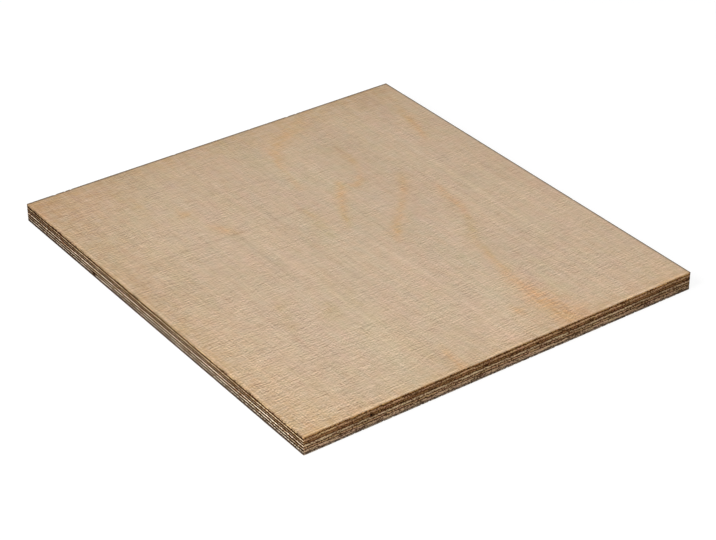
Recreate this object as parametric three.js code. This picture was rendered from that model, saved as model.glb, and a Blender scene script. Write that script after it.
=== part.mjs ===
// A panel of 18 mm plywood, lying flat: seven rotary-cut veneers glued one on another.
// Each veneer's grain runs at right angles to its neighbours', and the stack reads the same from either face.
// Millimetres, +Z up. The origin is the centre of the underside. Y is the way of the face grain, X lies across it.
import * as THREE from "three";

// Panel, as sawn
const panelWidth = 425; // along X, across the face grain
const panelLength = 460; // along Y, along the face grain

// Lay-up
const innerVeneer = 2.7; // thickness of each veneer between the two outer ones
const outerVeneer = 2.25; // the face and the back start at the same thickness and are sanded down
const innerCount = 5; // odd, so that the middle veneer has the same lay-up above and below it
const arris = 0.4; // the sharp edge that sandpaper takes off round the face and the back

// Open pockets: a sliver of veneer missing at a sawn edge leaves a pocket as high as the veneer.
// A pocket's place is the distance of its middle from the corner where its side starts (see cornersOf).
const pocketTaper = 0.55; // a pocket's width at its inner end over its width at the edge
const leftPocket = { side: 3, ply: 6, fromCorner: 125, width: 3.2, depth: 8 };
const frontPocket = { side: 0, ply: 3, fromCorner: 68, width: 2.6, depth: 5 };

const plyCount = innerCount + 2;

// Heights of the glue joints from the underside up: the list starts and ends with the panel's two faces.
// Neighbours share one height, so they meet face to face.
const heights = [0];
for (let ply = plyCount; ply >= 1; ply--) {
  const outer = ply === 1 || ply === plyCount;
  heights.push(heights[heights.length - 1] + (outer ? outerVeneer : innerVeneer));
}

// The same wood along its fibres and across their cut ends, which soak up the light.
const longGrain = { color: "#c8ab8a", roughness: 0.62, metalness: 0 };
const crossGrain = { color: "#8e6f51", roughness: 0.78, metalness: 0 };

// The panel's corners, anticlockwise from above: side 0 faces -Y, 1 faces +X, 2 faces +Y and 3 faces -X.
function cornersOf(width, length) {
  const x = width / 2;
  const y = length / 2;
  return [
    new THREE.Vector2(-x, -y),
    new THREE.Vector2(x, -y),
    new THREE.Vector2(x, y),
    new THREE.Vector2(-x, y),
  ];
}

// One veneer's outline: the rectangle, with each pocket let in as a tapered notch.
function veneerOutline(pockets) {
  const corners = cornersOf(panelWidth, panelLength);
  return corners.flatMap((corner, side) => {
    const along = corners[(side + 1) % corners.length].clone().sub(corner).normalize();
    const inward = new THREE.Vector2(-along.y, along.x);
    const point = (distance, depth) =>
      corner.clone().addScaledVector(along, distance).addScaledVector(inward, depth);
    const notches = pockets
      .filter((pocket) => pocket.side === side)
      .flatMap(({ fromCorner, width, depth }) => [
        point(fromCorner - width / 2, 0),
        point(fromCorner - (width * pocketTaper) / 2, depth),
        point(fromCorner + (width * pocketTaper) / 2, depth),
        point(fromCorner + width / 2, 0),
      ]);
    return [corner, ...notches];
  });
}

// Closed solid lofted through level sections, lowest first: each is the outline at a height, drawn in by an inset.
function loft(outline, sections) {
  const count = outline.length;
  const positions = sections.flatMap(({ height, inset }) =>
    outline.flatMap(({ x, y }) => [x - Math.sign(x) * inset, y - Math.sign(y) * inset, height]),
  );
  const cap = THREE.ShapeUtils.triangulateShape(outline, []);
  const top = (sections.length - 1) * count;
  const faces = cap.flatMap(([a, b, c]) => [c, b, a, top + a, top + b, top + c]);
  for (let section = 0; section < sections.length - 1; section++) {
    for (let i = 0; i < count; i++) {
      const lower = section * count;
      const next = (i + 1) % count;
      const upper = lower + count;
      faces.push(lower + i, lower + next, upper + next, lower + i, upper + next, upper + i);
    }
  }
  const geometry = new THREE.BufferGeometry();
  geometry.setAttribute("position", new THREE.Float32BufferAttribute(positions, 3));
  geometry.setIndex(faces);
  geometry.computeVertexNormals();
  return geometry;
}

// Level sections of one veneer. Only the face and the back have an arris, on their outer side.
function sectionsOf(ply) {
  const bottom = heights[plyCount - ply];
  const top = heights[plyCount - ply + 1];
  const below = ply === plyCount
    ? [{ height: bottom, inset: arris }, { height: bottom + arris, inset: 0 }]
    : [{ height: bottom, inset: 0 }];
  const above = ply === 1
    ? [{ height: top - arris, inset: 0 }, { height: top, inset: arris }]
    : [{ height: top, inset: 0 }];
  return [...below, ...above];
}

// Plies are counted from the face down. The odd ones run with the face grain, the even ones across it.
function nameOf(ply) {
  if (ply === 1) return "face_veneer";
  if (ply === plyCount) return "back_veneer";
  return ply % 2 ? `core_ply_${ply}` : `crossband_${ply}`;
}

function makeVeneer(ply) {
  const pockets = [leftPocket, frontPocket].filter((pocket) => pocket.ply === ply);
  const material = new THREE.MeshStandardMaterial(ply % 2 ? longGrain : crossGrain);
  const veneer = new THREE.Mesh(loft(veneerOutline(pockets), sectionsOf(ply)), material);
  veneer.name = nameOf(ply);
  return veneer;
}

const panel = new THREE.Group();
for (let ply = 1; ply <= plyCount; ply++) panel.add(makeVeneer(ply));

export default panel;
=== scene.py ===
"""A panel of 18 mm plywood lying flat: seven rotary-cut veneers glued crosswise, sanded faces, sawn
edges.

Sizes are millimetres in the panel's own frame: X across the face grain, Y along it, Z up from the
underside. The floor, the lights and the camera are in metres."""

import math

import bpy
import numpy as np
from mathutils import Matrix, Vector


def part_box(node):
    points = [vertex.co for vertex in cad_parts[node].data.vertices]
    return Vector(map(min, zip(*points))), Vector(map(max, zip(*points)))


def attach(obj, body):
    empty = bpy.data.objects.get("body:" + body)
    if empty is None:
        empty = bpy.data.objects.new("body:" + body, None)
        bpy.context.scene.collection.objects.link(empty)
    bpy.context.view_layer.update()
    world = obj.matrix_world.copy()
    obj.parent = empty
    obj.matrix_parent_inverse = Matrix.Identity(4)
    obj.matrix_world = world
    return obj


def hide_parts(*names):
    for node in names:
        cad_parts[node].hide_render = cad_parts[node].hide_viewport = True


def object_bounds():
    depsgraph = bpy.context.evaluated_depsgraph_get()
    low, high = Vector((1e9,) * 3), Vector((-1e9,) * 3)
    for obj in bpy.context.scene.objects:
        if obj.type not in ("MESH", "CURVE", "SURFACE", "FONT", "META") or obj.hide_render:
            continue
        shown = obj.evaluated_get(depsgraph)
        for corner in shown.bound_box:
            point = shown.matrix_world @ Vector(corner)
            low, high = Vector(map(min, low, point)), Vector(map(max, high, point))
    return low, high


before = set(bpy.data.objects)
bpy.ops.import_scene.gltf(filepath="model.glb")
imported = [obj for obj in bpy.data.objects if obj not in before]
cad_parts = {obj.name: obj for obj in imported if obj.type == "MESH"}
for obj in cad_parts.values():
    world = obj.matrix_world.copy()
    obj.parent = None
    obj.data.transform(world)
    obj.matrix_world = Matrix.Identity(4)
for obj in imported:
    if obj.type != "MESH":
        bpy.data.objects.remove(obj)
cad_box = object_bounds()

MM = 0.001

# The veneers from the face down. Odd ones run with the face grain, even ones across it.
VENEERS = (
    "face_veneer",
    "crossband_2",
    "core_ply_3",
    "crossband_4",
    "core_ply_5",
    "crossband_6",
    "back_veneer",
)
LAST = len(VENEERS)
HALF = np.array([cad_box[1][axis] / MM for axis in (0, 1)])  # half the width and half the length
MIDDLE = cad_box[1][2] / MM / 2  # height of the middle of the thickness

# Sides of the panel, anticlockwise from above: front, right, back, left. Each has its outward
# direction.
OUTWARD = np.array([(0, -1), (1, 0), (0, 1), (-1, 0)])

# A sliver of veneer is missing at two places on the sawn edges: side, ply, distance of the middle from
# the corner where the side starts, width at the edge, width inside over width at the edge, and depth.
POCKETS = (
    (3, 6, 125.0, 3.2, 0.55, 8.0),
    (0, 3, 68.0, 2.6, 0.55, 5.0),
)

# Stained and broken wood on the edges, and painted shade that widens the dark mouth of each pocket (the
# first, second and fourth rows): side, distance along it, height, half length, half height and the share of
# light lost. Below 0 the wood is freshly torn and paler.
BRUISES_AND_POCKET_SHADE = (
    (3, 125.0, 3.4, 2.6, 1.9, 0.75),
    (3, 120.0, 3.6, 5.0, 1.8, 0.4),
    (3, 125.5, 7.0, 2.6, 1.3, -0.55),
    (0, 67.6, 11.9, 2.6, 1.5, 0.35),
    (0, 68.0, 14.0, 3.0, 0.7, -0.4),
    (0, 110.0, 11.9, 40.0, 1.5, 0.3),
    (0, 150.0, 16.8, 75.0, 1.6, 0.22),
    (0, 400.0, 17.0, 60.0, 1.4, -0.4),
    (0, 20.0, 17.0, 35.0, 1.4, -0.15),
)

FACE_CELLS = (224, 242)  # cells of the grid on the face and back, across and along: 1.9 mm each
EDGE_SHARE = 3  # cells of the edge for each cell of the grid: 0.63 mm each
POCKET_POINTS = 43  # points of the edge over a pocket
FACE_MARGIN = 1.9  # from the panel's edge to the grid's
ARRIS = {1: 0.25, LAST: 0.12}  # radius that sandpaper gives the edge of the face, and of the back

# Rows of points up a sawn edge: in mm from the glued side on an outer ply, shares of the thickness on
# the rest.
OUTER_ROWS = (0, 0.1, 0.28, 0.6, 1.0, 1.35, 1.65)
INNER_ROWS = (0, 0.04, 0.12, 0.25, 0.4, 0.55, 0.7, 0.83, 0.93, 1)
ARRIS_ANGLES = (22.5, 45, 67.5, 90)  # points round the arris, in degrees from the edge's plane
RIM_INSET, RIM_DEPTH = 1.0, 0.03  # how far the last row lies from the edge, and below the face
CHIP_REACH = 0.9  # how far down the edge a chip goes
CHIP_IN, CHIP_DOWN = 0.6, 0.3  # how far a full chip takes its points in and away from the face

TOOTH_PITCH, TOOTH_DEPTH = 3.1, 0.03  # of the marks that the saw's teeth leave
BLADE_RADIUS = 125.0
GROOVE_DEPTH, GROOVE_CHANGE, GROOVE_WIDTH = 0.08, 0.05, 0.16  # at a glue joint
CORNER_WEAR, CORNER_REACH = 0.22, 0.7  # how deep a corner is worn, and how far along the edge
PERIOD = 128  # cells after which a random field repeats
# How far a random pattern is moved from one side to the next, along an arris, from one grain to the
# next and from one ply to the next, so that none looks like another.
SIDE_STEP, ARRIS_STEP = 211.0, 97.0
GRAIN_STEP, PLY_STEP = (17.3, 5.1, 9.7), (31.0, 47.0, 0)

# Figure of the face: where the peeling knife ran along a growth ring, its late wood shows as a warm flame.
# Each line is its points: X, Y, half its width and its strength there.
FLAMES = (
    (
        (92, 213, 8, 0.7),
        (66, 199, 7, 0.9),
        (40, 182, 6, 1.0),
        (27, 160, 5, 0.9),
        (20, 135, 3, 0.5),
        (13, 100, 3, 0.5),
    ),
    ((90, 150, 3, 0.2), (86, 118, 4, 0.5), (80, 96, 3, 0.4), (66, 77, 5, 0.9), (58, 78, 3, 0.6)),
    ((54, 92, 3, 0.5), (46, 80, 5, 1.0), (30, 55, 4, 0.9), (20, 38, 3, 0.6), (12, 20, 3, 0.4)),
    ((108, 62, 3, 0.4), (88, 34, 4, 0.7), (65, 10, 4, 0.7), (44, -14, 5, 1.0), (33, -30, 4, 0.6)),
    ((126, 34, 3, 0.3), (121, 8, 4, 0.8), (119, -14, 4, 0.8), (110, -36, 3, 0.3)),
    (
        (92, -62, 3, 0.3),
        (86, -90, 4, 0.6),
        (80, -120, 4, 0.7),
        (75, -150, 7, 0.9),
        (75, -185, 11, 1.2),
        (79, -228, 13, 1.2),
    ),
    ((190, 180, 3, 0.4), (186, 160, 4, 0.9), (180, 132, 4, 0.9), (173, 110, 3, 0.5)),
    ((-104, 132, 5, 0.4), (-103, 124, 6, 0.9), (-100, 116, 4, 0.3)),
    ((-92, 92, 4, 0.4), (-86, 77, 5, 0.8), (-80, 68, 4, 0.5)),
    ((-42, -190, 2, 0.3), (-45, -205, 3, 0.9), (-48, -229, 3, 1.2)),
    ((47, -178, 3, 0.3), (47, -187, 4, 0.8), (48, -196, 3, 0.3)),
)
# Duller patches of the same rings, where the knife left them at a slant.
SHADOWS = (
    ((-6, 64, 6, 0.7), (-9, 40, 8, 0.9), (-12, 10, 6, 0.8)),
    ((-118, -58, 5, 0.8), (-124, -76, 6, 0.9), (-129, -96, 5, 0.7)),
    ((-84, -82, 7, 0.7), (-88, -92, 9, 0.9), (-90, -102, 6, 0.6)),
    ((112, -34, 4, 0.7), (105, -48, 6, 1.0), (94, -66, 5, 0.8)),
    ((-128, 180, 5, 0.4), (-131, 160, 5, 0.7), (-130, 140, 4, 0.4)),
    ((90, 150, 4, 0.4), (88, 130, 5, 0.7), (86, 108, 4, 0.5)),
    ((110, 70, 4, 0.7), (100, 52, 5, 0.8), (90, 36, 4, 0.4)),
    ((26, 48, 4, 0.5), (18, 32, 5, 0.9), (11, 16, 4, 0.6)),
    ((88, -84, 4, 0.7), (86, -104, 4, 0.6), (82, -130, 4, 0.5)),
    ((-58, 160, 10, 0.2), (-62, -180, 12, 0.3), (-60, -226, 14, 0.4)),
)
# Broad stretches where the wood is pinker, and below 0 where it is greener.
BLUSHES = (
    ((-206, 205, 30, 1.6), (-170, 200, 28, 1.5), (-130, 182, 22, 1.0), (-112, 172, 16, 0.2)),
    ((-105, 205, 13, -1.0), (-105, 140, 14, -1.5), (-104, 110, 12, -0.4)),
    ((15, 190, 15, -1.2), (15, 120, 15, -1.6), (46, 85, 14, -1.4)),
    (
        (44, 25, 16, -1.4),
        (52, -30, 14, -0.8),
        (62, -90, 18, -1.4),
        (50, -130, 16, -1.1),
        (46, -185, 16, -1.6),
    ),
    ((-98, -150, 16, -1.0), (-95, -215, 20, -1.0)),
    ((200, 90, 22, 0.7), (202, 0, 22, 1.2), (198, -90, 20, 0.4)),
    ((92, -140, 9, 0.6), (80, -170, 11, 1.2), (84, -200, 11, 0.8), (90, -226, 12, 1.5)),
    ((-45, 160, 18, 0.8), (-45, 100, 18, 0.6)),
    ((118, 110, 26, 0.9), (118, 50, 26, 0.8), (128, -60, 24, 0.7)),
)
# Lines along the grain: strength below 0 is a dark line, above 0 a pale one.
LINES = (
    (
        (-42, 160, 2.6, -0.3),
        (-37, 80, 2.6, -0.5),
        (-35, -10, 2.4, -0.5),
        (-35, -80, 2.4, -0.4),
        (-28, -135, 2.4, -0.5),
        (-20, -172, 2.6, -0.6),
        (-6, -206, 3.2, -0.5),
    ),
    ((-58, 165, 2.4, -0.4), (-48, 80, 2.4, -0.7), (-40, 20, 2.2, -0.4)),
    (
        (-72, 110, 2.0, 0.3),
        (-71, 30, 2.2, 0.9),
        (-69, -60, 2.2, 1.0),
        (-67, -150, 2.2, 0.8),
        (-66, -228, 2.2, 0.6),
    ),
    ((-83, 100, 2.4, -0.2), (-82, 0, 2.6, -0.5), (-80, -120, 2.4, -0.3)),
    (
        (8, 40, 2.2, 0.2),
        (11, -20, 2.4, 0.8),
        (17, -70, 2.4, 1.1),
        (18, -130, 2.4, 0.9),
        (14, -215, 9.0, 0.9),
    ),
    ((131, 70, 2.0, 0.3), (128, -20, 2.2, 0.8), (125, -110, 2.4, 0.9), (124, -215, 2.4, 0.7)),
    ((-138, -20, 2.2, -0.2), (-136, -130, 2.4, -0.6), (-139, -225, 2.4, -0.5)),
    ((88, 215, 2.6, -0.5), (90, 120, 2.6, -0.5), (93, 40, 2.4, -0.4), (96, -20, 2.4, -0.2)),
    ((149, 150, 2.4, 0.4), (150, 0, 2.4, 0.6), (147, -150, 2.4, 0.4)),
    ((-176, 225, 2.2, 0.6), (-177, 60, 2.4, 0.6), (-178, -120, 2.2, 0.4)),
    ((177, 180, 2.2, 0.3), (176, 40, 2.4, 0.6), (178, -140, 2.2, 0.5)),
    ((-200, 210, 2.0, -0.4), (-196, 60, 2.0, -0.5), (-198, -160, 2.0, -0.4)),
    ((106, 130, 15, -0.2), (108, 20, 16, -0.35), (106, -80, 14, -0.2), (107, -190, 14, -0.3)),
    # growth rings that the knife cut at a slant, in the flame at the front
    ((69, -201, 1.5, -0.5), (72, -205, 1.5, -1.3), (72, -213, 1.5, -1.3), (69, -220, 1.5, -0.9)),
    ((74, -198, 1.5, -0.5), (78, -203, 1.5, -1.3), (78, -212, 1.5, -1.3), (75, -219, 1.5, -0.9)),
    ((79, -196, 1.5, -0.5), (84, -201, 1.5, -1.3), (83, -211, 1.5, -1.3), (80, -219, 1.5, -0.9)),
    ((76, -188, 1.5, -0.5), (80, -192, 1.5, -1.3), (80, -199, 1.5, -0.9)),
    # a nick in the knife marks the veneer straight across the grain
    (
        (-190, 68, 1.6, -0.7),
        (-120, 67, 1.7, -1.1),
        (-60, 67, 1.8, -1.3),
        (-6, 68, 1.6, -0.9),
        (90, 67, 1.6, -0.3),
    ),
    ((-28, 140, 1.6, -0.6), (-8, 134, 1.6, -0.9), (10, 129, 1.5, -0.4)),
)
# The back has a calmer figure, of three flames.
BACK_FLAMES = (
    ((-96, 226, 5, 0.6), (-80, 90, 7, 0.9), (-52, -10, 9, 1.0), (-70, -120, 7, 0.8), (-92, -226, 5, 0.6)),
    ((60, 226, 4, 0.5), (44, 120, 6, 0.8), (28, 60, 8, 1.0), (46, -20, 6, 0.8), (66, -226, 4, 0.5)),
    ((150, 226, 3, 0.4), (140, 0, 4, 0.6), (152, -226, 3, 0.4)),
)
BACK_LINES = (
    ((-150, 226, 2.4, -0.7), (-146, 0, 2.4, -0.8), (-152, -226, 2.4, -0.6)),
    ((-20, 226, 2.4, 0.6), (-14, 20, 2.4, 0.7), (-22, -226, 2.4, 0.6)),
    ((104, 226, 2.4, -0.5), (98, 10, 2.4, -0.7), (108, -226, 2.4, -0.5)),
)
# Drawn lines of the face and of the back, by the attribute that carries them. The back borrows its
# outer flames for its pink and dull stretches.
FACE_FIGURE = {"late_wood": FLAMES, "shadow": SHADOWS, "line": LINES, "blush": BLUSHES}
BACK_FIGURE = {
    "late_wood": BACK_FLAMES,
    "shadow": BACK_FLAMES[2:],
    "line": BACK_LINES,
    "blush": BACK_FLAMES[:1],
}


# ---------------------------------------------------------------- shapes


def random_field(u, v, seed):
    """Smooth random field from -1 to 1: a random value sits at each pair of whole numbers (u, v),
    and 3t^2 - 2t^3 blends each with the next."""
    values = np.random.default_rng(seed).uniform(-1, 1, (PERIOD, PERIOD))
    u, v = np.broadcast_arrays(np.asarray(u, float), np.asarray(v, float))
    i, j = np.floor(u).astype(int), np.floor(v).astype(int)
    a, b = u - i, v - j
    a, b = a * a * (3 - 2 * a), b * b * (3 - 2 * b)
    near = values[i % PERIOD, j % PERIOD] * (1 - a) + values[(i + 1) % PERIOD, j % PERIOD] * a
    far = values[i % PERIOD, (j + 1) % PERIOD] * (1 - a) + values[(i + 1) % PERIOD, (j + 1) % PERIOD] * a
    return near * (1 - b) + far * b


def outline(ply):
    """The panel's rectangle as a closed ring of points, anticlockwise from above, from the front left
    corner.

    Each side is cut into equal cells, and closer at a pocket of this ply. Returns each point's
    place, its outward direction (the sum of both sides' at a corner), its side and its distance
    along that side."""
    corners = HALF * np.array([(-1, -1), (1, -1), (1, 1), (-1, 1)])
    found = []
    for side in range(4):
        start, end = corners[side], corners[(side + 1) % 4]
        length = np.abs(end - start).sum()
        cells = FACE_CELLS[side % 2] * EDGE_SHARE
        along = np.arange(cells) * length / cells
        for at_side, at_ply, middle, width, _, _ in POCKETS:
            if (at_side, at_ply) == (side, ply):
                along = np.union1d(along, middle + np.linspace(-0.7, 0.7, POCKET_POINTS) * width)
        direction = np.repeat(OUTWARD[side][None].astype(float), len(along), 0)
        direction[0] += OUTWARD[side - 1]
        place = start + (end - start) / length * along[:, None]
        found.append((place, direction, np.full(len(along), side), along))
    return tuple(np.concatenate(part) for part in zip(*found))


def sawn_relief(side, along, height, ply, joints):
    """How far a sawn edge lies inside its plane, in mm, zero or more.

    The sum of: the arcs of the saw's teeth, the cube of a raised cosine of (distance + height
    squared over twice the blade's radius) over their pitch; fibres, random fields that are short
    where the grain is cut across and long where it runs along; torn places, where a random field
    passes a threshold; a groove of Gaussian section at each glue joint; the corner, worn by a
    Gaussian of the distance to it; and the pockets, flat-bottomed with sloping, ragged walls."""
    ends = (side % 2 == 0) == (ply % 2 == 1)
    seat = along + SIDE_STEP * side
    arc = seat + 0.12 * height + (height - MIDDLE) ** 2 / (2 * BLADE_RADIUS)
    arc = arc + 1.5 * random_field(seat / 19, 0.5, 3)
    teeth = (0.5 + 0.5 * np.cos(2 * math.pi * arc / TOOTH_PITCH)) ** 3
    teeth = teeth * (0.6 + 0.4 * random_field(seat / 31, 1.5, 4))
    crosscut = (
        0.06
        + 0.05 * random_field(seat / 33, 7.5 * ply, 5)
        + 0.045 * random_field(seat / 0.9, height / 0.55, 6)
        + 0.55 * np.clip(random_field(seat / 2.3, height / 1.1, 7) - 0.66, 0, 1)
    )
    ripcut = (
        0.03
        + 0.02 * random_field(seat / 47, 9.5 * ply, 8)
        + 0.03 * random_field(seat / 9, height / 0.4, 9)
        + 0.45 * np.clip(random_field(seat / 8, height / 0.6, 10) - 0.7, 0, 1)
    )
    relief = TOOTH_DEPTH * teeth + np.where(ends, crosscut, ripcut)
    for joint in joints:
        depth = GROOVE_DEPTH + GROOVE_CHANGE * random_field(seat / 6, joint, 11)
        relief = relief + depth * np.exp(-(((height - joint) / GROOVE_WIDTH) ** 2))
    length = 2 * HALF[side % 2]
    to_corner = np.minimum(along, length - along)
    relief = relief + CORNER_WEAR * np.exp(-((to_corner / CORNER_REACH) ** 2))
    for at_side, at_ply, middle, width, inside, depth in POCKETS:
        if at_ply == ply:
            ragged = 0.22 * random_field(along / 0.5, height / 0.7, 12)
            reach = (width / 2 - np.abs(along - middle) + ragged) / (width / 2 * (1 - inside))
            relief = relief + np.where(side == at_side, depth * np.clip(reach, 0, 1), 0)
    return np.maximum(relief, 0)


def splinters(side, along):
    """Depth of the chips that the saw tears from an arris, 0 to 1: how far a random field passes a
    threshold, which is lowest along the front, where the saw came out across the face grain."""
    seat = along + ARRIS_STEP * side
    least = np.select([side == 0, side == 2], [0.56, 0.82], 0.8)
    return np.clip((random_field(seat / 2.1, 3.5 * side, 13) - least) / (1 - least), 0, 1)


def wall(ply, low, high):
    """The sawn edge of one ply: its outline carried up through rows of heights and drawn in at each by
    the relief.

    An outer ply ends in its arris, a quarter circle: inset = r - r cos(angle), height = top - r + r
    sin(angle), and a chip moves its points further in and away from the face. The back is worked out
    as the face is, and turned over. Returns the points, row by row from the glued side, and each
    point's side, distance along it and relief."""
    thickness = high - low
    outer = ply in (1, LAST)
    if outer:
        angle = np.radians(ARRIS_ANGLES)
        radius = ARRIS[ply]
        plain = np.append(OUTER_ROWS, thickness - radius)
        turned = thickness - radius + radius * np.sin(angle)
        rise = np.concatenate([plain, turned, [thickness - RIM_DEPTH]])[:, None]
        inset = np.concatenate([0 * plain, radius - radius * np.cos(angle), [RIM_INSET]])[:, None]
        joints = [high if ply == LAST else low]
    else:
        rise = thickness * np.array(INNER_ROWS)[:, None]
        inset, radius = 0 * rise, 1.0
        joints = [low, high]
    place, direction, side, along = outline(ply)
    upward = -1 if ply == LAST else 1
    height = high - rise if ply == LAST else low + rise
    relief = sawn_relief(side[None], along[None], height, ply, joints)
    relief = relief * np.maximum(1 - inset / radius, 0) + inset
    if outer:
        near = np.clip((rise - thickness + CHIP_REACH) / CHIP_REACH, 0, 1) * (inset < RIM_INSET)
        chip = splinters(side[None], along[None]) * near
        relief = relief + CHIP_IN * chip * near
        height = height - upward * CHIP_DOWN * chip * near
    points = np.empty(relief.shape + (3,))
    points[..., :2] = place[None] - direction[None] * relief[..., None]
    points[..., 2] = height
    return points, side, along, relief


def sanded_depth(x, y, seed):
    """How far a sanded face lies below its plane, in mm: shallow ripples across the grain, a random
    field long in X and short in Y, on hollows that are broad both ways."""
    ripple = 0.6 * random_field(x / 36, y / 3.4, seed) + 0.4 * random_field(x / 14, y / 2.6, seed + 1)
    hollow = random_field(x / 60, y / 80, seed + 2)
    return 0.03 * (1 + ripple) + 0.02 * (1 + hollow)


def grid_face(ply, low, high):
    """The broad face of an outer ply inside its margin: a grid of X by Y, each point below the plane
    by the sanded depth. Returns the points, their numbers as a grid, and those of the border in the
    outline's order."""
    cells_x, cells_y = FACE_CELLS
    reach = HALF - FACE_MARGIN
    across = np.linspace(-reach[0], reach[0], cells_x + 1)
    along = np.linspace(-reach[1], reach[1], cells_y + 1)
    x, y = np.meshgrid(across, along)
    depth = sanded_depth(x, y, 20 + ply)
    z = low + depth if ply == LAST else high - depth
    number = np.arange(x.size).reshape(x.shape)
    border = np.concatenate([number[0, :-1], number[:-1, -1], number[-1, :0:-1], number[:0:-1, 0]])
    return np.stack([x, y, z], -1).reshape(-1, 3), number, border


def strip(lower, upper):
    """Four-sided faces between two closed rings of point numbers. They face outwards when the second
    ring is the upper one."""
    return np.stack([lower, np.roll(lower, -1), np.roll(upper, -1), upper], 1)


def margin_faces(rim, border):
    """Faces between the rim, which has three cells for each cell of the border, and the border: a
    triangle, a four-sided face and a triangle for each cell."""
    a, b, c = rim[0::3], rim[1::3], rim[2::3]
    d, near, far = np.roll(a, -1), border, np.roll(border, -1)
    return np.stack([a, b, near], 1), np.stack([b, c, far, near], 1), np.stack([c, d, far], 1)


# ---------------------------------------------------------------- fields that the materials read


def line_field(points, lines, spread=1.0):
    """Strength of drawn lines at each point: over the lines, the sum of strength times a Gaussian of
    the distance to the line. A line is a Catmull-Rom curve through its points, which also carries
    its strength and its half width, times the spread."""
    total = np.zeros(len(points))
    t = np.linspace(0, 1, 13)[:-1, None]
    for line in lines:
        knots = np.array(line, float)
        knots = np.concatenate([2 * knots[:1] - knots[1:2], knots, 2 * knots[-1:] - knots[-2:-1]])
        spans = [
            0.5 * (2 * b + (c - a) * t + (2 * a - 5 * b + 4 * c - d) * t**2 + (3 * b - a - 3 * c + d) * t**3)
            for a, b, c, d in zip(knots, knots[1:], knots[2:], knots[3:])
        ]
        path = np.concatenate(spans + [knots[-2:-1]])
        start, step = path[:-1, :2], np.diff(path[:, :2], axis=0)
        offset = points[:, None, :2] - start[None]
        share = np.clip((offset * step).sum(-1) / (step**2).sum(-1), 0, 1)
        distance = np.linalg.norm(offset - share[..., None] * step, axis=-1)
        best = distance.argmin(1)
        every = np.arange(len(points))
        at = path[best] + share[every, best][:, None] * (path[best + 1] - path[best])
        total += at[:, 3] * np.exp(-((distance[every, best] / np.maximum(spread * at[:, 2], 0.5)) ** 2))
    return total


def dust_and_painted_shade(side, along, height, relief, seed):
    """Share of its light that a place on a sawn edge loses to dust, and as painted shade in its own
    hollows and round the pockets. The sum of: random fields along the edge, for dust; on the left and the
    back, an exponential of the distance to the back left corner, stronger low down; powers of the share
    of the way along the front and the left; a Gaussian at the front's right end; the relief over a few
    tenths of a millimetre, painted shade in the hollows; and a Gaussian for each bruise or patch of
    painted pocket shade."""
    seat = along + SIDE_STEP * side
    length = 2 * HALF[side % 2]
    to_back = np.select([side == 3, side == 2], [along, length - along], 400.0)
    low = 1.15 - 0.3 * height / MIDDLE / 2
    corner = 0.46 * low * np.exp(-to_back / 150)
    way = along / length
    corner = corner + np.select([side == 0, side == 3], [0.3 * way**3.5, -0.16 * way], 0)
    corner = corner + np.where(side == 0, 0.55 * np.exp(-(((length - along) / 1.3) ** 2)), 0)
    dust = 0.15 * random_field(seat / 21, seed, 30) + 0.08 * random_field(seat / 6.5, seed, 31)
    # Bruises, and painted shade round the pockets, go in with the dust.
    for at_side, middle, level, reach, rise, share in BRUISES_AND_POCKET_SHADE:
        spot = np.exp(-(((along - middle) / reach) ** 2) - ((height - level) / rise) ** 2)
        dust = dust + np.where(side == at_side, share * spot, 0)
    # Painted shade: a place sunk deep in the edge, such as a pocket or a chip, is darker by its relief.
    return np.clip(dust + corner + 0.5 * np.clip((relief - 0.4) / 1.5, 0, 1), -0.6, 0.92)


def to_sides(x, y):
    """Distances of a place on the face to the left, right, front and back side."""
    return HALF[0] + x, HALF[0] - x, HALF[1] + y, HALF[1] - y


def rim_shade(x, y):
    """Share of its light that the face loses near its edges. A share below zero is a gain.

    The sum of: on the left and front a Gaussian for the worn arris; less a Gaussian strip beside
    each side, a painted highlight of random strength along it; on the back and right a flat-topped
    Gaussian, painted shade where these rims turn away from the lamps; broad exponentials at the back,
    the right and the back right corner, painted shade; Gaussians that make the left darker towards the
    back, and the back paler towards the right; less a broad exponential at the front, painted light."""
    left, right, front, back = to_sides(x, y)
    worn = 0.38 * np.exp(-((left / 0.9) ** 2)) + 0.3 * np.exp(-((front / 0.9) ** 2))
    # Painted highlights, a bright strip beside each side: distance to the side, place along it, middle,
    # width and strength.
    painted_highlights = (
        (left, y, 1.5, 1.0, 0.22),
        (front, x, 2.0, 1.1, 0.25),
        (right, y, 2.8, 1.1, 0.08),
        (back, x, 3.2, 1.1, 0.05),
    )
    # Each painted highlight is taken off worn, which from here holds the arris's wear and the painted
    # highlights.
    for distance, along, place, width, gain in painted_highlights:
        gain = gain * (1 + 0.9 * random_field(along / 5, 0.5, 14) + 0.6 * random_field(along / 31, 1.5, 14))
        worn = worn - gain * np.exp(-(((distance - place) / width) ** 2))
    # Painted shade along the back and right rims, where they turn away from the lamps.
    painted_far_rim_shade = np.maximum(0.76 * np.exp(-((back / 1.9) ** 4)), 0.78 * np.exp(-((right / 1.6) ** 4)))
    # Painted shade, broad, at the back, the right and the back right corner.
    broad = 0.03 * np.exp(-back / 30) + 0.02 * np.exp(-right / 25)
    broad = broad + 0.07 * np.exp(-np.hypot(right, back) / 40)
    uneven = 0.04 * np.exp(-((left / 75) ** 2)) * np.clip((y + 60) / 150, -0.6, 0.7)
    uneven = uneven - 0.05 * np.exp(-((back / 60) ** 2)) * np.clip(x / 200, -0.3, 1)
    # Less painted light at the front, a broad exponential.
    return worn + painted_far_rim_shade + broad + uneven + 0.025 - 0.05 * np.exp(-front / 150)


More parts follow.
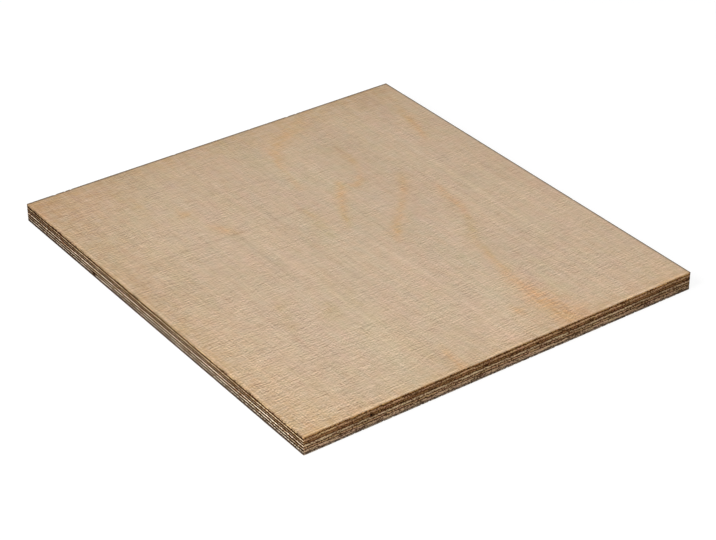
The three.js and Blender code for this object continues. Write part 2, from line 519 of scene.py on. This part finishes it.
def warmth(x, y):
    """How far handling and resin have browned the face towards its edges: short exponentials of the
    distance to a side times a random field, and broad exponentials and Gaussians."""
    left, right, front, back = to_sides(x, y)
    near = 0.2 * np.exp(-left / 9) + 0.3 * np.exp(-front / 6) + 0.2 * np.exp(-back / 14)
    broad = 0.34 * np.exp(-((left / (55 + 25 * np.clip(y / 200, 0, 1))) ** 2)) + 0.25 * np.exp(-front / 30)
    broad = broad + 0.1 * np.exp(-((right / 60) ** 2)) + 0.42 * np.exp(-back / 50)
    return near * (1 + 0.8 * random_field(x / 9, y / 13, 40)) + broad


def grit(x, y):
    """How strong the short streaks of the face are, about 1: more at the front and the left, by
    exponentials of the distance, and uneven by random fields."""
    left, _, front, _ = to_sides(x, y)
    place = 0.74 + 0.42 * np.exp(-front / 170) + 0.6 * np.exp(-left / 110)
    return place * (1 + 0.3 * random_field(x / 16, y / 22, 41) + 0.25 * random_field(x / 40, y / 9, 42))


# ---------------------------------------------------------------- veneers

# Material places of a veneer: broad face, edges facing X, edges facing Y, glued faces.
FACE, SIDES_X, SIDES_Y, GLUED = range(4)


def veneer(ply, materials):
    """One ply as a closed mesh: its wall, a flat many-sided face where it is glued, and on an outer
    ply the sanded grid. It carries the fields that its materials read as attributes."""
    name = VENEERS[ply - 1]
    low, high = (corner[2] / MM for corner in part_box(name))
    points, side, along, relief = wall(ply, low, high)
    rows, count = relief.shape
    number = np.arange(rows * count).reshape(rows, count)
    quads = np.concatenate([strip(number[r], number[r + 1]) for r in range(rows - 1)])
    place = np.tile(np.where(side % 2 == 1, SIDES_X, SIDES_Y), rows - 1)
    vertices = points.reshape(-1, 3)
    fields = {"shade": dust_and_painted_shade(side[None], along[None], points[..., 2], relief, 1.5 * ply).reshape(-1)}
    faces, places = [quads], [place]
    caps = [number[0][::-1].tolist()]
    if ply in (1, LAST):
        place[-3 * count :] = FACE  # the top of the arris belongs to the face
        grid, inner, border = grid_face(ply, low, high)
        inner, border = inner + len(vertices), border + len(vertices)
        corners = [inner[:-1, :-1], inner[:-1, 1:], inner[1:, 1:], inner[1:, :-1]]
        faces += [np.stack(corners, -1).reshape(-1, 4), *margin_faces(number[-1], border)]
        places += [np.full(len(part), FACE) for part in faces[1:]]
        vertices = np.concatenate([vertices, grid])
        for field, lines in (FACE_FIGURE if ply == 1 else BACK_FIGURE).items():
            fields[field] = line_field(vertices, lines)
            if field == "late_wood":  # a flame also glows a little beyond its line
                fields[field] = 0.7 * fields[field] + 0.45 * line_field(vertices, lines, 2.2)
        x, y = vertices[:, :2].T
        fields["warm"] = warmth(x, y)
        fields["grit"] = grit(x, y)
        on_face = np.concatenate([number[-3:].reshape(-1), np.arange(len(grid)) + number.size])
        fields["shade"] = np.concatenate([fields["shade"], np.zeros(len(grid))])
        fields["shade"][on_face] = rim_shade(x[on_face], y[on_face])
    else:
        caps.append(number[-1].tolist())
    listed = [face for part in faces for face in part.tolist()] + caps
    index = np.concatenate(places + [np.full(len(caps), GLUED)])
    if ply == LAST:
        listed = [face[::-1] for face in listed]
    mesh = bpy.data.meshes.new(name + "_wood")
    mesh.from_pydata((vertices * MM).tolist(), [], listed)
    for material in materials:
        mesh.materials.append(material)
    mesh.polygons.foreach_set("material_index", index.astype(np.int32))
    for field, values in fields.items():
        mesh.attributes.new(field, "FLOAT", "POINT").data.foreach_set("value", values.astype(np.float32))
    mesh.shade_smooth()
    mesh.set_sharp_from_angle(angle=math.radians(50))
    mesh.validate()
    piece = bpy.data.objects.new(name + "_wood", mesh)
    bpy.context.scene.collection.objects.link(piece)
    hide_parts(name)
    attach(piece, "root")


# ---------------------------------------------------------------- materials

# A grain is a noise: its cell's size along X, Y and Z in mm, its share and its detail.

# Light and dark of the face at rest: fibres along the grain, several times their real width so that
# they show, small blotches, and broad bands.
FACE_GRAINS = (
    ((2.0, 22, 20), 0.14, 1.0),
    ((3.0, 60, 20), 0.14, 1.0),
    ((2.4, 200, 20), 0.1, 0.0),
    ((7, 5, 20), 0.18, 1.0),
    ((16, 11, 20), 0.14, 1.0),
    ((45, 120, 40), 0.16, 1.0),
)
BACK_GRAINS = tuple((cell, 1.1 * share, detail) for cell, share, detail in FACE_GRAINS)
# Short streaks where the knife chattered, most across the grain and some along it, and a fine speckle.
# All are several times as coarse as the wood's vessels, so that they show.
STROKES = (
    ((13, 1.6, 20), 0.52, 1.0),
    ((32, 2.2, 20), 0.2, 1.0),
    ((1.8, 10, 20), 0.26, 1.0),
    ((1.6, 1.6, 20), 0.5, 0.0),
)
STROKE_SWAY = (2.5, 3.5, 0.0)  # how far the strokes wander from straight
STROKE_EDGE = (0.8, 1.4, 0.0)  # from a streak to the pale or dark edge beside it
STROKE_EDGE_SHARE = -0.55  # of the streak's own strength
# Clouds in which the sapwood turns from greyer to pinker, and how a flame or a brown patch breaks up.
CLOUDS = (((26, 80, 30), 1.5, 1.0),)
BROKEN = (((5, 16, 9), 1.7, 2.0), ((14, 2.4, 9), 1.8, 1.0))
# Patches of pinker or greener wood, and of yellower or bluer wood.
BLUSH_GRAINS = (((12, 28, 20), 3.2, 1.0), ((6, 10, 20), 3.0, 0.0))
HONEY_GRAINS = (((13, 32, 20), 3.2, 1.0), ((5, 11, 20), 2.5, 0.0))
# How the roughness of the face varies
FACE_ROUGH = (((3, 20, 3), 0.2, 2.0),)

SAPWOOD = ("#c3ae90", "#c6ac92")  # greyer and pinker
# Tints laid over the sapwood: the attribute that places each, its colour and its share.
TINTS = (("shadow", "#b8a176", 0.45), ("late_wood", "#cba070", 0.46), ("warm", "#b8986f", 1.0))
# Gain of red, green and blue by each pattern. A dark streak is browner as well: its blue falls by more.
TONE_GAIN, BLUSH_GAIN, HONEY_GAIN = (0.94, 1.0, 1.1), (0.016, -0.011, -0.004), (0.0065, 0.0, -0.029)

LINE_GAIN = 0.09  # change of tone that a line along the grain makes at full strength
BUMP_DEPTH = 0.0002  # rise of the grain's relief in metres, for a tone of 1

# Dark specks on the face: place, radius and depth.
SPECKS = (
    ((47.5, -73.5, 18.0), 1.1, 0.30),
    ((-32.5, -197.5, 18.0), 1.2, 0.32),
    ((-176.0, -21.0, 18.0), 0.9, 0.16),
    ((-172.5, -24.5, 18.0), 0.9, 0.14),
)

# Pale wood, dark wood and glue of each ply's sawn edge: on the edges that face X, then on those that
# face Y.
EDGE_WOODS = {
    1: (("#c8a77c", "#4f3a26", "#2a1400"), ("#e2aa6b", "#603d1c", "#5a2f0f")),
    2: (("#ffe2b8", "#a07c54", "#301800"), ("#f6c492", "#6c4a2c", "#7e4e28")),
    3: (("#ffe8c6", "#bc9268", "#442c14"), ("#b78656", "#442a12", "#60391c")),
    4: (("#ffe8ca", "#ac845c", "#100400"), ("#ffdeb0", "#84593a", "#603e20")),
    5: (("#ffecce", "#9c7a56", "#341f0a"), ("#f2c191", "#634629", "#44280e")),
    6: (("#ffecd2", "#785e44", "#261606"), ("#f6cea8", "#6e5238", "#543e28")),
    # On the edges that face X, the back veneer's colours are painted dark: painted shade where the panel
    # meets the floor.
    7: (("#5e462c", "#140c05", "#42352a"), ("#dfc5aa", "#46352a", "#6e5c4a")),
}
# How far each glue line, from the face down, shows above its joint on the edges that face X and on
# those that face Y: the veneers were sawn a little out of square.
GLUE_DRIFT = {"X": (-0.3, -0.4, 0.0, -0.4, -0.5, -0.6), "Y": (0.5, 0.3, 0.35, 0.25, 0.45, -0.55)}
# By the axis that an edge faces: the speckle's width and half the glue line's, both many times the
# real ones so that they show, and the glue's mean strength, where 1 hides the wood.
EDGE_LINES = {"X": (1.9, 0.95, 1.95), "Y": (1.6, 0.44, 1.2)}
LINE_FLANK = (0.75, 1.3)  # where a glue line starts to fade and where it is gone, in half widths
SPECKLE_EDGE, SPECKLE_EDGE_SHARE = (0.0, 0.0, 1.0), -0.5  # the pale or dark edge below each speck
# Red, green and blue that a sawn edge loses for each share of its light, to dust and painted shade alike:
# brown, as dust is.
SHADE_AND_DUST_LOSS = (-0.9, -1.0, -1.08)


def linear(colour):
    """An sRGB hex colour as linear red, green, blue and alpha."""
    parts = [int(colour[i : i + 2], 16) / 255 for i in (1, 3, 5)]
    return (*[c / 12.92 if c <= 0.04045 else ((c + 0.055) / 1.055) ** 2.4 for c in parts], 1)


def add(tree, kind, inputs=None, **settings):
    """Adds one node: settings are its properties, and inputs its sockets by name or number, each a
    value or a socket to link."""
    node = tree.nodes.new(kind)
    for key, value in settings.items():
        setattr(node, key, value)
    for key, value in (inputs or {}).items():
        if isinstance(value, bpy.types.NodeSocket):
            tree.links.new(value, node.inputs[key])
        else:
            node.inputs[key].default_value = value
    return node


def scalar(tree, operation, *values, **settings):
    """Output of a Math node, from numbers or sockets in the order of its inputs."""
    inputs = dict(enumerate(values))
    return add(tree, "ShaderNodeMath", inputs, operation=operation, **settings).outputs[0]


def vector(tree, operation, *values):
    """Output of a Vector Math node, likewise. A single number stands for three alike."""
    return add(tree, "ShaderNodeVectorMath", dict(enumerate(values)), operation=operation).outputs[0]


def mixed(tree, factor, a, b):
    """Colour a where the factor is 0 and b where it is 1."""
    inputs = {"Factor": factor, "A": a, "B": b}
    return add(tree, "ShaderNodeMix", inputs, data_type="RGBA").outputs["Result"]


def fade(tree, value, start, end, full):
    """full below the start, 0 beyond the end, and a smooth step between."""
    inputs = {"Value": value, "From Min": start, "From Max": end, "To Min": full, "To Max": 0.0}
    return add(tree, "ShaderNodeMapRange", inputs, interpolation_type="SMOOTHSTEP").outputs[0]


def new_material(name):
    """A material with a Principled shader, and the Object coordinates in millimetres."""
    material = bpy.data.materials.new(name)
    material.use_nodes = True
    tree = material.node_tree
    place = add(tree, "ShaderNodeTexCoord").outputs["Object"]
    place = add(tree, "ShaderNodeMapping", {"Vector": place, "Scale": (1 / MM,) * 3}).outputs[0]
    return material, tree, tree.nodes["Principled BSDF"], place


def grain_sum(tree, place, grains, start=0.0):
    """start plus, for each grain, share times (noise - 0.5). Each grain's noise is moved by its
    number."""
    total = start - sum(share for _, share, _ in grains) / 2
    for number, (cell, share, detail) in enumerate(grains):
        moved = tuple(step * number for step in GRAIN_STEP)
        scale = tuple(1 / size for size in cell)
        mapping = {"Vector": place, "Location": moved, "Scale": scale}
        scaled = add(tree, "ShaderNodeMapping", mapping).outputs[0]
        noise = {"Vector": scaled, "Scale": 1.0, "Detail": detail, "Roughness": 0.5}
        noise = add(tree, "ShaderNodeTexNoise", noise).outputs[0]
        total = scalar(tree, "MULTIPLY_ADD", noise, share, total)
    return total


def set_surface(tree, shader, colour, roughness, relief=None, bump=0.0, gloss=0.5):
    """Gives the shader its colour, roughness and gloss, and a bump that follows the relief."""
    tree.links.new(colour, shader.inputs["Base Color"])
    tree.links.new(roughness, shader.inputs["Roughness"])
    if bump:
        raised = {"Strength": bump, "Distance": BUMP_DEPTH, "Height": relief}
        tree.links.new(add(tree, "ShaderNodeBump", raised).outputs[0], shader.inputs["Normal"])
    shader.inputs["Specular IOR Level"].default_value = gloss


def sanded_face(name, grains, seat, specks=()):
    """Rotary-cut birch, sanded and left bare: pale tan, matt, with short streaks and a fine speckle
    where the knife chattered, fibres along the grain, warm flames where the knife ran along a growth
    ring, and hues that drift between pink, green and honey. seat moves the patterns, so that face
    and back differ."""
    material, tree, shader, place = new_material(name)
    place = vector(tree, "ADD", place, seat)
    read = {
        field: add(tree, "ShaderNodeAttribute", attribute_name=field).outputs["Fac"]
        for field in (*FACE_FIGURE, "warm", "shade", "grit")
    }

    # Hue
    grey, pink = SAPWOOD
    colour = mixed(tree, grain_sum(tree, place, CLOUDS, 0.5), linear(grey), linear(pink))
    broken = grain_sum(tree, place, BROKEN, 1.0)
    for field, tint, share in TINTS:
        amount = scalar(tree, "MULTIPLY", broken, share)
        amount = scalar(tree, "MULTIPLY", read[field], amount, use_clamp=True)
        colour = mixed(tree, amount, colour, linear(tint))

    # Light and dark. Each streak has a pale or dark edge beside it: the same pattern is partly taken
    # off again a little further on.
    noise = {"Vector": place, "Scale": 1 / 15, "Detail": 1.0}
    sway = add(tree, "ShaderNodeTexNoise", noise).outputs["Color"]
    swayed = vector(tree, "MULTIPLY_ADD", sway, STROKE_SWAY, place)
    beside = grain_sum(tree, vector(tree, "ADD", swayed, STROKE_EDGE), STROKES)
    streaks = grain_sum(tree, swayed, STROKES)
    streaks = scalar(tree, "MULTIPLY_ADD", beside, STROKE_EDGE_SHARE, streaks)
    tone = grain_sum(tree, place, grains)
    tone = scalar(tree, "MULTIPLY_ADD", streaks, read["grit"], tone)
    tone = scalar(tree, "MULTIPLY_ADD", read["line"], LINE_GAIN, tone)
    for spot, radius, depth in specks:
        between = {0: place, 1: tuple(np.add(spot, seat))}
        far = add(tree, "ShaderNodeVectorMath", between, operation="DISTANCE").outputs["Value"]
        tone = scalar(tree, "ADD", tone, fade(tree, far, 0.4 * radius, radius, -depth))

    blush = scalar(tree, "ADD", grain_sum(tree, place, BLUSH_GRAINS, 0.4), read["blush"])
    honey = grain_sum(tree, place, HONEY_GRAINS, -0.4)
    gain = (1.0, 1.0, 1.0)
    for amount, tint in ((tone, TONE_GAIN), (blush, BLUSH_GAIN), (honey, HONEY_GAIN)):
        gain = vector(tree, "MULTIPLY_ADD", amount, tint, gain)
    colour = vector(tree, "MULTIPLY", colour, gain)
    # The shade attribute darkens the colour: wear at the arris, painted highlights, and painted shade and
    # light near the rims.
    colour = vector(tree, "MULTIPLY", colour, scalar(tree, "SUBTRACT", 1.0, read["shade"]))
    roughness = grain_sum(tree, place, FACE_ROUGH, 0.62)
    set_surface(tree, shader, colour, roughness, relief=tone, bump=0.4, gloss=0.3)
    return material


def sawn_edge(name, ply, axis, pale, dark, glue, joints):
    """Sawn edge of one ply. Along the grain the fibres lie as long streaks. Across it their cut ends
    stand as upright dashes, which soak up light. Over both lies a speckle with a pale or dark edge
    below each speck. The glue at each joint is a dark brown line of uneven strength, a smooth step
    of the distance to the joint."""
    material, tree, shader, place = new_material(name)
    ends = (axis == "Y") == (ply % 2 == 1)
    along = 0 if axis == "Y" else 1
    fine, half, full = EDGE_LINES[axis]

    def cell(length, height):
        """A grain's cell, by its length along the edge and its height."""
        size = [3.0, 3.0, height]
        size[along] = length
        return tuple(size)

    if ends:
        grains = ((cell(28, 6), 0.8, 1.0), (cell(1.7, 2.6), 1.4, 1.0), (cell(15, 1.0), 1.5, 0.0))
        speckle = ((cell(fine, 1.0), 3.4, 0.0),)
    else:
        grains = ((cell(28, 6), 0.8, 1.0), (cell(12, 1.0), 2.8, 1.0))
        speckle = ((cell(fine, 1.0), 2.6, 0.0),)
    place = vector(tree, "ADD", place, tuple(step * ply for step in PLY_STEP))
    below = grain_sum(tree, vector(tree, "ADD", place, SPECKLE_EDGE), speckle)
    tone = grain_sum(tree, place, grains + speckle, 0.62)
    tone = scalar(tree, "MULTIPLY_ADD", below, SPECKLE_EDGE_SHARE, tone)
    colour = mixed(tree, tone, linear(dark), linear(pale))
    turn = grain_sum(tree, place, ((cell(8, 8), 0.05, 1.0),), 0.5)
    colour = add(tree, "ShaderNodeHueSaturation", {"Hue": turn, "Color": colour}).outputs[0]

    height = add(tree, "ShaderNodeSeparateXYZ", {0: place}).outputs["Z"]
    height = scalar(tree, "ADD", height, grain_sum(tree, place, ((cell(9, 6), 0.8, 2.0),)))
    strength = grain_sum(tree, place, ((cell(7, 6), 1.2, 1.0), (cell(fine, 1.4), 3.6, 0.0)), full)
    for joint in joints:
        off = scalar(tree, "ABSOLUTE", scalar(tree, "SUBTRACT", height, joint))
        line = fade(tree, off, LINE_FLANK[0] * half, LINE_FLANK[1] * half, 1.0)
        line = scalar(tree, "MULTIPLY", line, strength, use_clamp=True)
        colour = mixed(tree, line, colour, linear(glue))

    # Dust and painted shade, from the mesh's shade attribute, darken the colour.
    shade = add(tree, "ShaderNodeAttribute", attribute_name="shade").outputs["Fac"]
    light = vector(tree, "MULTIPLY_ADD", shade, SHADE_AND_DUST_LOSS, (1.0, 1.0, 1.0))
    colour = vector(tree, "MULTIPLY", colour, light)
    roughness = grain_sum(tree, place, ((cell(3, 0.8), 0.2, 1.0),), 0.78)
    set_surface(tree, shader, colour, roughness, relief=tone, bump=0.7, gloss=0.05)
    return material


def glue_film():
    """Cured phenolic glue on a glued face: dark red-brown, hard, half gloss. It shows only inside
    the pockets."""
    material, tree, shader, place = new_material("phenolic_glue_film")
    tone = grain_sum(tree, place, (((6, 6, 6), 1.6, 2.0),), 0.5)
    colour = mixed(tree, tone, linear("#2a1a10"), linear("#4a3120"))
    set_surface(tree, shader, colour, grain_sum(tree, place, (((2, 2, 2), 0.3, 1.0),), 0.5))
    return material


film = glue_film()
faces_of = {
    1: sanded_face("sanded_birch_face", FACE_GRAINS, (0.0, 0.0, 0.0), SPECKS),
    LAST: sanded_face("sanded_birch_back", BACK_GRAINS, (613.0, 377.0, 0.0)),
}
for ply, name in enumerate(VENEERS, 1):
    low, high = (corner[2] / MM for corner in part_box(name))
    edges = []
    for axis, woods in zip("XY", EDGE_WOODS[ply]):
        levels = ((high, ply - 2), (low, ply - 1))
        joints = [level + GLUE_DRIFT[axis][at] for level, at in levels if 0 <= at < LAST - 1]
        edges.append(sawn_edge(f"sawn_birch_ply_{ply}_{axis.lower()}", ply, axis, *woods, joints))
    veneer(ply, [faces_of.get(ply, film), *edges, film])


# ---------------------------------------------------------------- floor, light and camera

FLOOR_REACH, FLOOR_LEVEL = 6.0, -0.0001  # the floor lies just below the panel
WHITE = (1, 1, 1, 1)
# Colour of the floor for the light it throws on the panel, then for the eye, which sees it glow too.
FLOOR_GREY, FLOOR_SEEN, FLOOR_GLOW = (0.42, 0.42, 0.42, 1), (0.24, 0.24, 0.24, 1), 0.82
# Square studio lights: place, the point that each faces, size and power.
LIGHTS = {
    "key_softbox": ((-3.9, 0.0, 3.1), (0, 0, 0), 2.5, 151.0),
    "left_softbox": ((-1.5, -0.05, 0.2), (-0.21, 0, 0.01), 0.6, 10.5),
    "front_softbox": ((0.05, -0.58, 1.6), (0, -0.05, 0), 1.0, 8.6),
}
# The camera looks down over the front left corner.
AZIMUTH, ELEVATION, DISTANCE = math.radians(-36.033), math.radians(32.063), 1.99545
TARGET = (-0.010791, -0.027182, 0.0)
SENSOR_WIDTH, FOCAL_LENGTH = 36.0, 109.317  # mm


def seen_by_eye(tree):
    """1 for a ray from the camera or off a glossy or clear surface, else 0."""
    rays = add(tree, "ShaderNodeLightPath").outputs
    eye, gloss, clear = (rays[f"Is {kind} Ray"] for kind in ("Camera", "Glossy", "Transmission"))
    return scalar(tree, "MAXIMUM", scalar(tree, "MAXIMUM", eye, gloss), clear)


def pale_floor():
    """Matt white board: it lights the panel from below as a mid grey would, and looks white but for
    the panel's shadow."""
    material = bpy.data.materials.new("matt_white_board")
    material.use_nodes = True
    tree = material.node_tree
    tree.nodes.remove(tree.nodes["Principled BSDF"])
    plain = add(tree, "ShaderNodeBsdfDiffuse", {"Color": FLOOR_GREY}).outputs[0]
    shadowed = add(tree, "ShaderNodeBsdfDiffuse", {"Color": FLOOR_SEEN}).outputs[0]
    glow = add(tree, "ShaderNodeEmission", {"Strength": FLOOR_GLOW}).outputs[0]
    white = add(tree, "ShaderNodeAddShader", {0: shadowed, 1: glow}).outputs[0]
    both = add(tree, "ShaderNodeMixShader", {0: seen_by_eye(tree), 1: plain, 2: white}).outputs[0]
    tree.links.new(both, tree.nodes["Material Output"].inputs["Surface"])
    mesh = bpy.data.meshes.new("floor")
    corners = [(-FLOOR_REACH, -FLOOR_REACH), (FLOOR_REACH, -FLOOR_REACH)]
    corners += [(FLOOR_REACH, FLOOR_REACH), (-FLOOR_REACH, FLOOR_REACH)]
    mesh.from_pydata([(x, y, FLOOR_LEVEL) for x, y in corners], [], [(0, 1, 2, 3)])
    mesh.materials.append(material)
    floor = bpy.data.objects.new("floor", mesh)
    bpy.context.scene.collection.objects.link(floor)


def soft_light(name, place, aim, size, power):
    """A square light at a place, turned to face a point."""
    data = bpy.data.lights.new(name, "AREA")
    data.shape, data.size, data.energy = "SQUARE", size, power
    lamp = bpy.data.objects.new(name, data)
    lamp.location = place
    lamp.rotation_euler = (Vector(place) - Vector(aim)).to_track_quat("Z", "Y").to_euler()
    bpy.context.scene.collection.objects.link(lamp)


def studio_air():
    """The world: a weak even light on the panel, and white to the eye."""
    world = bpy.data.worlds.new("studio")
    bpy.context.scene.world = world
    world.use_nodes = True
    tree = world.node_tree
    tree.nodes.remove(tree.nodes["Background"])
    fill = add(tree, "ShaderNodeBackground", {"Color": WHITE, "Strength": 0.3}).outputs[0]
    white = add(tree, "ShaderNodeBackground", {"Color": WHITE, "Strength": 1.0}).outputs[0]
    both = add(tree, "ShaderNodeMixShader", {0: seen_by_eye(tree), 1: fill, 2: white}).outputs[0]
    tree.links.new(both, tree.nodes["World Output"].inputs["Surface"])


pale_floor()
for name, setting in LIGHTS.items():
    soft_light(name, *setting)
studio_air()

camera_data = bpy.data.cameras.new("camera")
camera_data.sensor_width, camera_data.lens = SENSOR_WIDTH, FOCAL_LENGTH
camera = bpy.data.objects.new("camera", camera_data)
camera.location = (
    TARGET[0] + DISTANCE * math.sin(AZIMUTH) * math.cos(ELEVATION),
    TARGET[1] - DISTANCE * math.cos(AZIMUTH) * math.cos(ELEVATION),
    TARGET[2] + DISTANCE * math.sin(ELEVATION),
)
camera.rotation_euler = (math.pi / 2 - ELEVATION, 0, AZIMUTH)
bpy.context.scene.collection.objects.link(camera)
bpy.context.scene.camera = camera
bpy.context.scene.view_settings.view_transform = "Standard"
